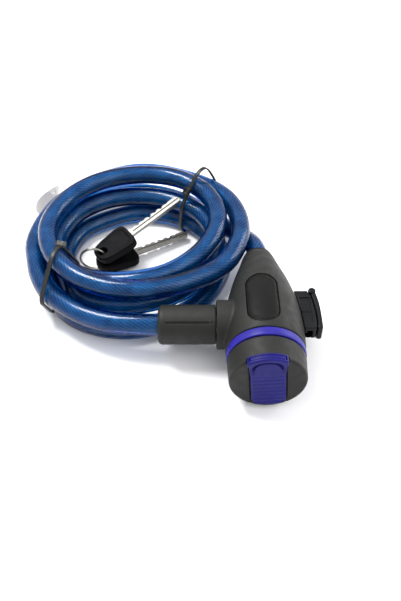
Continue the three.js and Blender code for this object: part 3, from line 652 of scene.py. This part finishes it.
def head():
    lean = math.radians(FACE_LEAN)
    cos, sin = math.cos(lean), math.sin(lean)
    turn = np.array([[cos, 0, -sin], [0, 1, 0], [sin, 0, cos]])
    face = (turn, np.array([sin, 0, 1 - cos]) * AXIS_Z)
    moulded("housing_skin", housing, (-26, -20, 0), (26, 53.2, 43.2), 0.6,
            SOFT_BLACK, "head", "rear_housing")
    moulded("inlay_pad", inlay, (-10, -16.2, 30), (7, 22.2, 44), 0.4,
            SOFT_INLAY, "head", "top_inlay")
    moulded("cap_shell", cap, (-21, -40, 0), (21, -25, 43), 0.55,
            SOFT_BLACK, "head", "front_cap", move=face)
    moulded("ring_band", ring, (-21.3, -25.6, -0.2), (21.3, -20, 42.6), 0.5,
            BLUE, "head", "trim_ring")
    moulded("guide_lip", guide, (-11, -43, 30), (11, -38, 44), 0.35,
            COVER_BLUE, "head", "cover_guide", move=face)
    moulded("cover_pad", cover, (-9.3, -41.6, 4), (9.3, -39.5, 43.4), 0.35,
            COVER_BLUE, "cover", "keyhole_cover", move=face)


# ---------------------------------------------------------------- plug
SLEEVE_R = 11
SLEEVE_X = (-58, -26.3)
GROOVE_TURN = math.radians(37)  # the groove and the dimple behind it lie that far round from the top
GROOVES = [(-53.2, -30.7, 0.8), (-28.7, -28.5, 0.5)]  # from, to, depth
GROOVE_HALF = 0.5
MOUTH_BORE, PIN_BORE = 6.4, 5.3


def sleeve(p):
    x, y, z = p[..., 0], p[..., 1], p[..., 2] - AXIS_Z
    f = smooth_max(np.hypot(y, z) - SLEEVE_R, SLEEVE_X[0] - x, 3)
    f = smooth_max(f, x - SLEEVE_X[1], 0.6)
    cos, sin = math.cos(GROOVE_TURN), math.sin(GROOVE_TURN)
    across, out = y * cos + z * sin, z * cos - y * sin
    for x0, x1, depth in GROOVES:
        line = np.hypot(np.maximum(np.maximum(x0 - x, x - x1), 0), across) - GROOVE_HALF
        f = cut(f, np.maximum(line, SLEEVE_R - depth - out), 0.3)
    f = cut(f, rod(p, 0, (0, AXIS_Z), MOUTH_BORE, -60, -44), 0.6)
    return cut(f, rod(p, 0, (0, AXIS_Z), PIN_BORE, -45, -20), 0.4)


def plug():
    moulded("sleeve_skin", sleeve, (-58, -11, 10), (-26, 11, 32.4), 0.42,
            SOFT_BLACK, "plug", "plug_sleeve")


# ---------------------------------------------------------------- frame bracket
RAIL_Z, BRACKET_Y = 19.5, 9.0
SHOE = {"y0": -7, "y1": 21.5, "z0": 12.5, "z1": 26.5, "chamfer": 5.5}
FLANGE = {"y0": -7.5, "y1": 20.6, "z0": 11.5, "z1": 27.2, "chamfer": 6, "inner": 1.4, "outer": 1.6}
FLANGE_SEAT_X = 31.7
CHANNEL = {"neck": 2.6, "head": 4.3, "head_x": 23.1, "back_x": 26.1, "end_y": 18.9}
SCREW_CORE, SCREW_PASS, SCREW_HEAD = 1.3, 1.7, 3.2
POST = {"r": 2.2, "x": 28.3, "y": 20.6, "z0": 12.5, "z1": 27.6}
POST_PLAY = 0.3


def lower_front(p, part):
    """The 45 degree cut across a part's lower front corner."""
    return (part["y0"] + part["z0"] + part["chamfer"] - p[..., 1] - p[..., 2]) * math.sqrt(0.5)


def post_bore(p):
    return rod(p, 2, (POST["x"], POST["y"]), POST["r"] + POST_PLAY, 0, 40)


def shoe(p):
    y = p[..., 1]
    body = block(p, (15, SHOE["y0"], SHOE["z0"]), (40, SHOE["y1"], SHOE["z1"]), 1.0)
    f = smooth_max(body, p[..., 0] - flange_line(y) + 1.7, 1.0)
    f = smooth_max(f, lower_front(p, SHOE), 1.2)
    f = cut(f, turned(p, HOUSING, 0.5) - 0.4, 0.4)
    for front_x, half in ((15, CHANNEL["neck"]), (CHANNEL["head_x"], CHANNEL["head"])):
        back = (CHANNEL["back_x"], CHANNEL["end_y"], RAIL_Z + half)
        f = cut(f, block(p, (front_x, -12, RAIL_Z - half), back), 0.3)
    f = cut(f, block(p, (20.5, -3, 25.7), (26.6, 16, 30), 0.3), 0.3)
    f = np.minimum(f, block(p, (21.3, 5.2, 25.3), (26, 6, 26), 0.2))
    f = cut(f, rod(p, 0, (BRACKET_Y, RAIL_Z), SCREW_CORE, 25, 40), 0.2)
    return cut(f, post_bore(p), 0.2)


def flange_line(y):
    """The bowed flange's middle, as x at each y."""
    t = np.linspace(0, 1, 60)
    ends = [(28, 23.2), (31.8, 4), (29.9, -7.5)]
    bow = [(1 - t) ** 2 * a + 2 * t * (1 - t) * b + t * t * c for a, b, c in zip(*ends)]
    return np.interp(y, bow[1][::-1], bow[0][::-1])


def flange(p):
    x, y, z = p[..., 0], p[..., 1], p[..., 2]
    bow = flange_line(y)
    sheet = np.maximum(bow - FLANGE["inner"] - x, x - bow - FLANGE["outer"]) * 0.97
    f = smooth_max(sheet, np.maximum(FLANGE["y0"] - y, y - FLANGE["y1"]), 1.0)
    f = smooth_max(f, np.maximum(FLANGE["z0"] - z, z - FLANGE["z1"]), 1.0)
    f = smooth_max(f, lower_front(p, FLANGE), 1.5)
    f = smooth_max(f, x - FLANGE_SEAT_X, 0.5)
    f = cut(f, post_bore(p), 0.2)
    f = cut(f, rod(p, 0, (BRACKET_Y, RAIL_Z), SCREW_PASS, 20, 40), 0.2)
    return cut(f, rod(p, 0, (BRACKET_Y, RAIL_Z), SCREW_HEAD, 30.1, 40), 0.4)


def post(p):
    return rod(p, 2, (POST["x"], POST["y"]), POST["r"], POST["z0"], POST["z1"], 0.9)


def bracket():
    moulded("shoe_shell", shoe, (16, -7, 12), (29.5, 22, 27), 0.4,
            GLOSS_BLACK, "bracket", "bracket_shoe")
    moulded("flange_shell", flange, (26, -7.6, 11), (32, 21, 27.5), 0.35,
            GLOSS_BLACK, "bracket", "bracket_flange")
    moulded("post_knob", post, (26, 18.3, 12.4), (30.6, 22.9, 27.7), 0.3,
            GLOSS_BLACK, "bracket", "strap_post")


# ---------------------------------------------------------------- keys
KEY_HOLE = (-95.0, 66.5)
KEYS = {"lower": (30.5, -1.5, 5.6), "upper": (34.6, 17.8, 13.6)}  # angle, tilt, height
GRIP_X, GRIP_HALF = (-5, 3, 14, 21), (6.2, 8.2, 9.5, 9.3)  # the grip's half width along its length
GRIP_THICK, GRIP_DISH = 2.7, 2.35  # half the thickness, at the rim and in the dish
GRIP_RIM = 2.6
GRIP_HOLE, BLADE_SLOT = 3, (13.7, 2.8, 1.4)
RING_R, RING_AT = 8.3, (-6.8, 9.2)  # the split ring's middle, from the hole along X and above the ground


def key_place(angle, tilt, z):
    turn = Matrix.Rotation(math.radians(angle), 3, "Z") @ Matrix.Rotation(-math.radians(tilt), 3, "Y")
    return np.array(turn), np.array([*KEY_HOLE, z])


def key_head(p):
    x, y, z = p[..., 0], p[..., 1], p[..., 2]
    half = np.interp(x, GRIP_X, GRIP_HALF)
    f = smooth_max(np.abs(y) - half, np.abs(x - 8) - 13, 5)
    f = smooth_max(f, np.abs(z) - GRIP_THICK, 1.1)
    dish = smooth_max(np.abs(y) - half + GRIP_RIM, np.abs(x - 10.5) - 8, 4)
    f = cut(f, np.maximum(dish, GRIP_DISH - np.abs(z)), 0.35)
    f = cut(f, np.hypot(x, y) - GRIP_HOLE, 0.6)
    start, wide, thick = BLADE_SLOT
    return cut(f, block(p, (start, -wide, -thick), (40, wide, thick)), 0.2)


def keys():
    for side, place in KEYS.items():
        moulded(f"key_{side}_grip", key_head, (-5, -10, -3), (21, 10, 3), 0.4,
                KEY_BLACK, f"key_{side}", f"key_{side}_head", move=key_place(*place))
    turn = np.linspace(0, 4 * math.pi, 121)
    drift = 0.42 * np.tanh((turn - 2 * math.pi) / 1.2)
    x = KEY_HOLE[0] + RING_AT[0] + RING_R * np.cos(turn)
    path = np.stack([x, KEY_HOLE[1] + drift, RING_AT[1] + RING_R * np.sin(turn)], 1)
    ob = swept("split_ring", path, rounded_outline(0.75, 1.1, 0.3), STEEL)
    settle(ob, "ring", "key_ring")


# ---------------------------------------------------------------- ties and tag
STRAP = (2.6, 1.0)
STRAP_LIFT = 0.7  # the strap's middle above the cable's surface
GROUND_GAP = 0.45  # the strap's middle is never lower than this


def crossing(path, start, end):
    """Where the cable crosses the upright plane from start to end in plan: (along, height, stretch)."""
    way = (end - start) / np.linalg.norm(end - start)
    d = path[:, :2] - start
    off, along = d[:, 1] * way[0] - d[:, 0] * way[1], d @ way
    at = [i for i in range(len(path) - 1) if off[i] * off[i + 1] <= 0]
    at = [i for i in at if -4 < along[i] < np.linalg.norm(end - start) + 4]
    slant = [np.linalg.norm(path[i + 1] - path[i]) / max(abs(off[i + 1] - off[i]), 1e-6) for i in at]
    return [(along[i], path[i, 2], min(k, 2.5)) for i, k in zip(at, slant)]


def hull(points):
    """The points' outline, anticlockwise."""
    points = sorted(points)

    def bends_left(a, b, c):
        return (b[0] - a[0]) * (c[1] - a[1]) - (b[1] - a[1]) * (c[0] - a[0]) > 0

    def half(ordered):
        chain = []
        for point in ordered:
            while len(chain) > 1 and not bends_left(chain[-2], chain[-1], point):
                chain.pop()
            chain.append(point)
        return chain[:-1]

    return half(points) + half(points[::-1])


def tie(side, path, start, end, head_at, tail, slack=(), painted_highlight_lock=False):
    """A strap in the upright plane between two (degrees, radius) places, round every turn it meets.

    head_at is where its lock sits, (along, height); tail is the loose end's length and swing in degrees;
    slack adds (along, height) points that the strap also goes round."""
    start, end = (np.array(around_coil(*at, 0.0))[:2] for at in (start, end))
    way = (end - start) / np.linalg.norm(end - start)
    r_tie = CABLE_R + STRAP_LIFT
    round_ = np.linspace(0, 2 * math.pi, 24, endpoint=False)
    rim = [(s + k * r_tie * math.cos(t), max(z + r_tie * math.sin(t), GROUND_GAP))
           for s, z, k in crossing(path, start, end) for t in round_]
    loop = np.array(hull(rim + list(slack)))
    out, across = np.array([*way, 0]), np.array([-way[1], way[0], 0])

    def place(s, z):
        return np.array([*start, 0]) + out * s + np.array([0, 0, z])

    line = smooth_path([place(s, z) for s, z in loop], 1.2, closed=True)
    t = np.roll(line, -1, 0) - np.roll(line, 1, 0)
    t /= np.linalg.norm(t, axis=1)[:, None]
    flat = np.cross(across, t)
    o = np.array(rounded_outline(*STRAP, 0.3))
    verts = line[:, None] + across * o[None, :, :1] + flat[:, None] * o[None, :, 1:]
    faces = grid_faces(len(line), len(o), wrap_rows=True)
    band = new_piece(f"tie_{side}_band", verts.reshape(-1, 3), faces, TIE_BLACK)
    settle(band, "head", f"tie_{side}_strap")
    near = np.argmin(np.linalg.norm(line - place(*head_at), axis=1))
    away = flat[near] if np.dot(flat[near], line[near] - line.mean(0)) > 0 else -flat[near]
    inward = t[near] if np.dot(t[near], out) < 0 else -t[near]
    turn = np.stack([inward, np.cross(away, inward), away], 1)
    length, swing = tail
    cos, sin = math.cos(math.radians(swing)), math.sin(math.radians(swing))

    def lock(p):
        f = block(p, (-2.4, -2.3, 0.2), (2.4, 2.3, 3.2), 0.6)
        f = cut(f, block(p, (-3, -1.3, 2.3), (1.2, 1.3, 4)), 0.3)
        q = np.stack([p[..., 0] * cos + p[..., 1] * sin, p[..., 1] * cos - p[..., 0] * sin, p[..., 2]], -1)
        return smooth_min(f, block(q, (0, -1.2, 1.0), (length + 2, 1.2, 2.0), 0.3), 0.5)

    reach = length + 3
    aside = reach * abs(sin) + 2.5
    # the left lock and its tail take the lighter grey, a painted highlight on the black tie plastic
    material = TIE_PAINTED_HIGHLIGHT if painted_highlight_lock else TIE_BLACK
    moulded(f"tie_{side}_lock", lock, (-2.5, -aside, 0), (reach, aside, 3.3), 0.3,
            material, "head", f"tie_{side}_head", move=(turn, line[near]))


TAG_HALF = (11, 12)
TAG_AT, TAG_LEAN, TAG_TURN = (-137, 121, 12.5), 72, 233
TAG_THICK = 0.4
THREAD = {"r": 4.2, "y": 13.2, "z": 0.4, "width": 0.6}


def card_material():
    m = Nodes("card")
    m.colour(rgb(240, 236, 232), rgb(222, 217, 212), m.ramp(m.noise(40, 4), 0, 1))
    m.roughness(m.ramp(m.noise(500), 0.55, 0.75))
    m.bump(m.noise(1500, 4), 0.00003)
    return m.material


def tag():
    """A round-cornered card, a little bent, and the thread that it hangs by."""
    card = card_material()
    wide, tall = TAG_HALF
    across, along = np.meshgrid(np.linspace(-1, 1, 25), np.linspace(-1, 1, 37))
    # the corners are round: each row keeps to the outline's width there
    y = tall * along
    half = wide * np.sqrt(np.maximum(1 - (np.abs(y) / tall) ** 2.6, 0))
    x = across * np.maximum(half, 0.05)
    bend = 2.2 * (x / wide) ** 2 + 0.5 * (y / tall) ** 2
    lean, around = math.radians(TAG_LEAN), math.radians(TAG_TURN)
    turn = np.array(Matrix.Rotation(around, 3, "Z") @ Matrix.Rotation(lean, 3, "X"))
    base = np.array(TAG_AT)
    flat = np.stack([x, y, bend], -1).reshape(-1, 3)
    verts = np.vstack([flat, flat + (0, 0, TAG_THICK)]) @ turn.T + base
    n, rows, cols = len(flat), *x.shape
    top = grid_faces(rows, cols, wrap_cols=False)
    faces = [f[::-1] for f in top] + [[i + n for i in f] for f in top]
    first, right = range(cols), range(2 * cols - 1, n, cols)
    last, left = range(n - 2, n - cols - 1, -1), range(n - 2 * cols, 0, -cols)
    rim = [*first, *right, *last, *left]
    faces += [[a, b, b + n, a + n] for a, b in zip(rim, rim[1:] + rim[:1])]
    settle(new_piece("card_tag", verts, faces, card), "head", "hang_tag")
    round_ = np.linspace(0, 2 * math.pi, 40, endpoint=False)
    y = THREAD["y"] + THREAD["r"] * np.sin(round_)
    z = THREAD["z"] + THREAD["r"] * np.cos(round_)
    loop = np.stack([0 * round_, y, z], 1) @ turn.T + base
    outline = rounded_outline(THREAD["width"], THREAD["width"], 0.29)
    settle(swept("tag_thread", loop, outline, card, closed=True), "head", "tag_string")


path, jacket = cable()
head()
plug()
bracket()
keys()
tie("left", path, (203, 41.5), (227, 72), (5, 38), (6, 40), painted_highlight_lock=True)
tie("right", path, (45, 42.6), (45, 73), (3, 32), (2, 0), slack=[(14, 41), (20, 41.5)])
tag()
declare_cord()
node_materials()
stage()
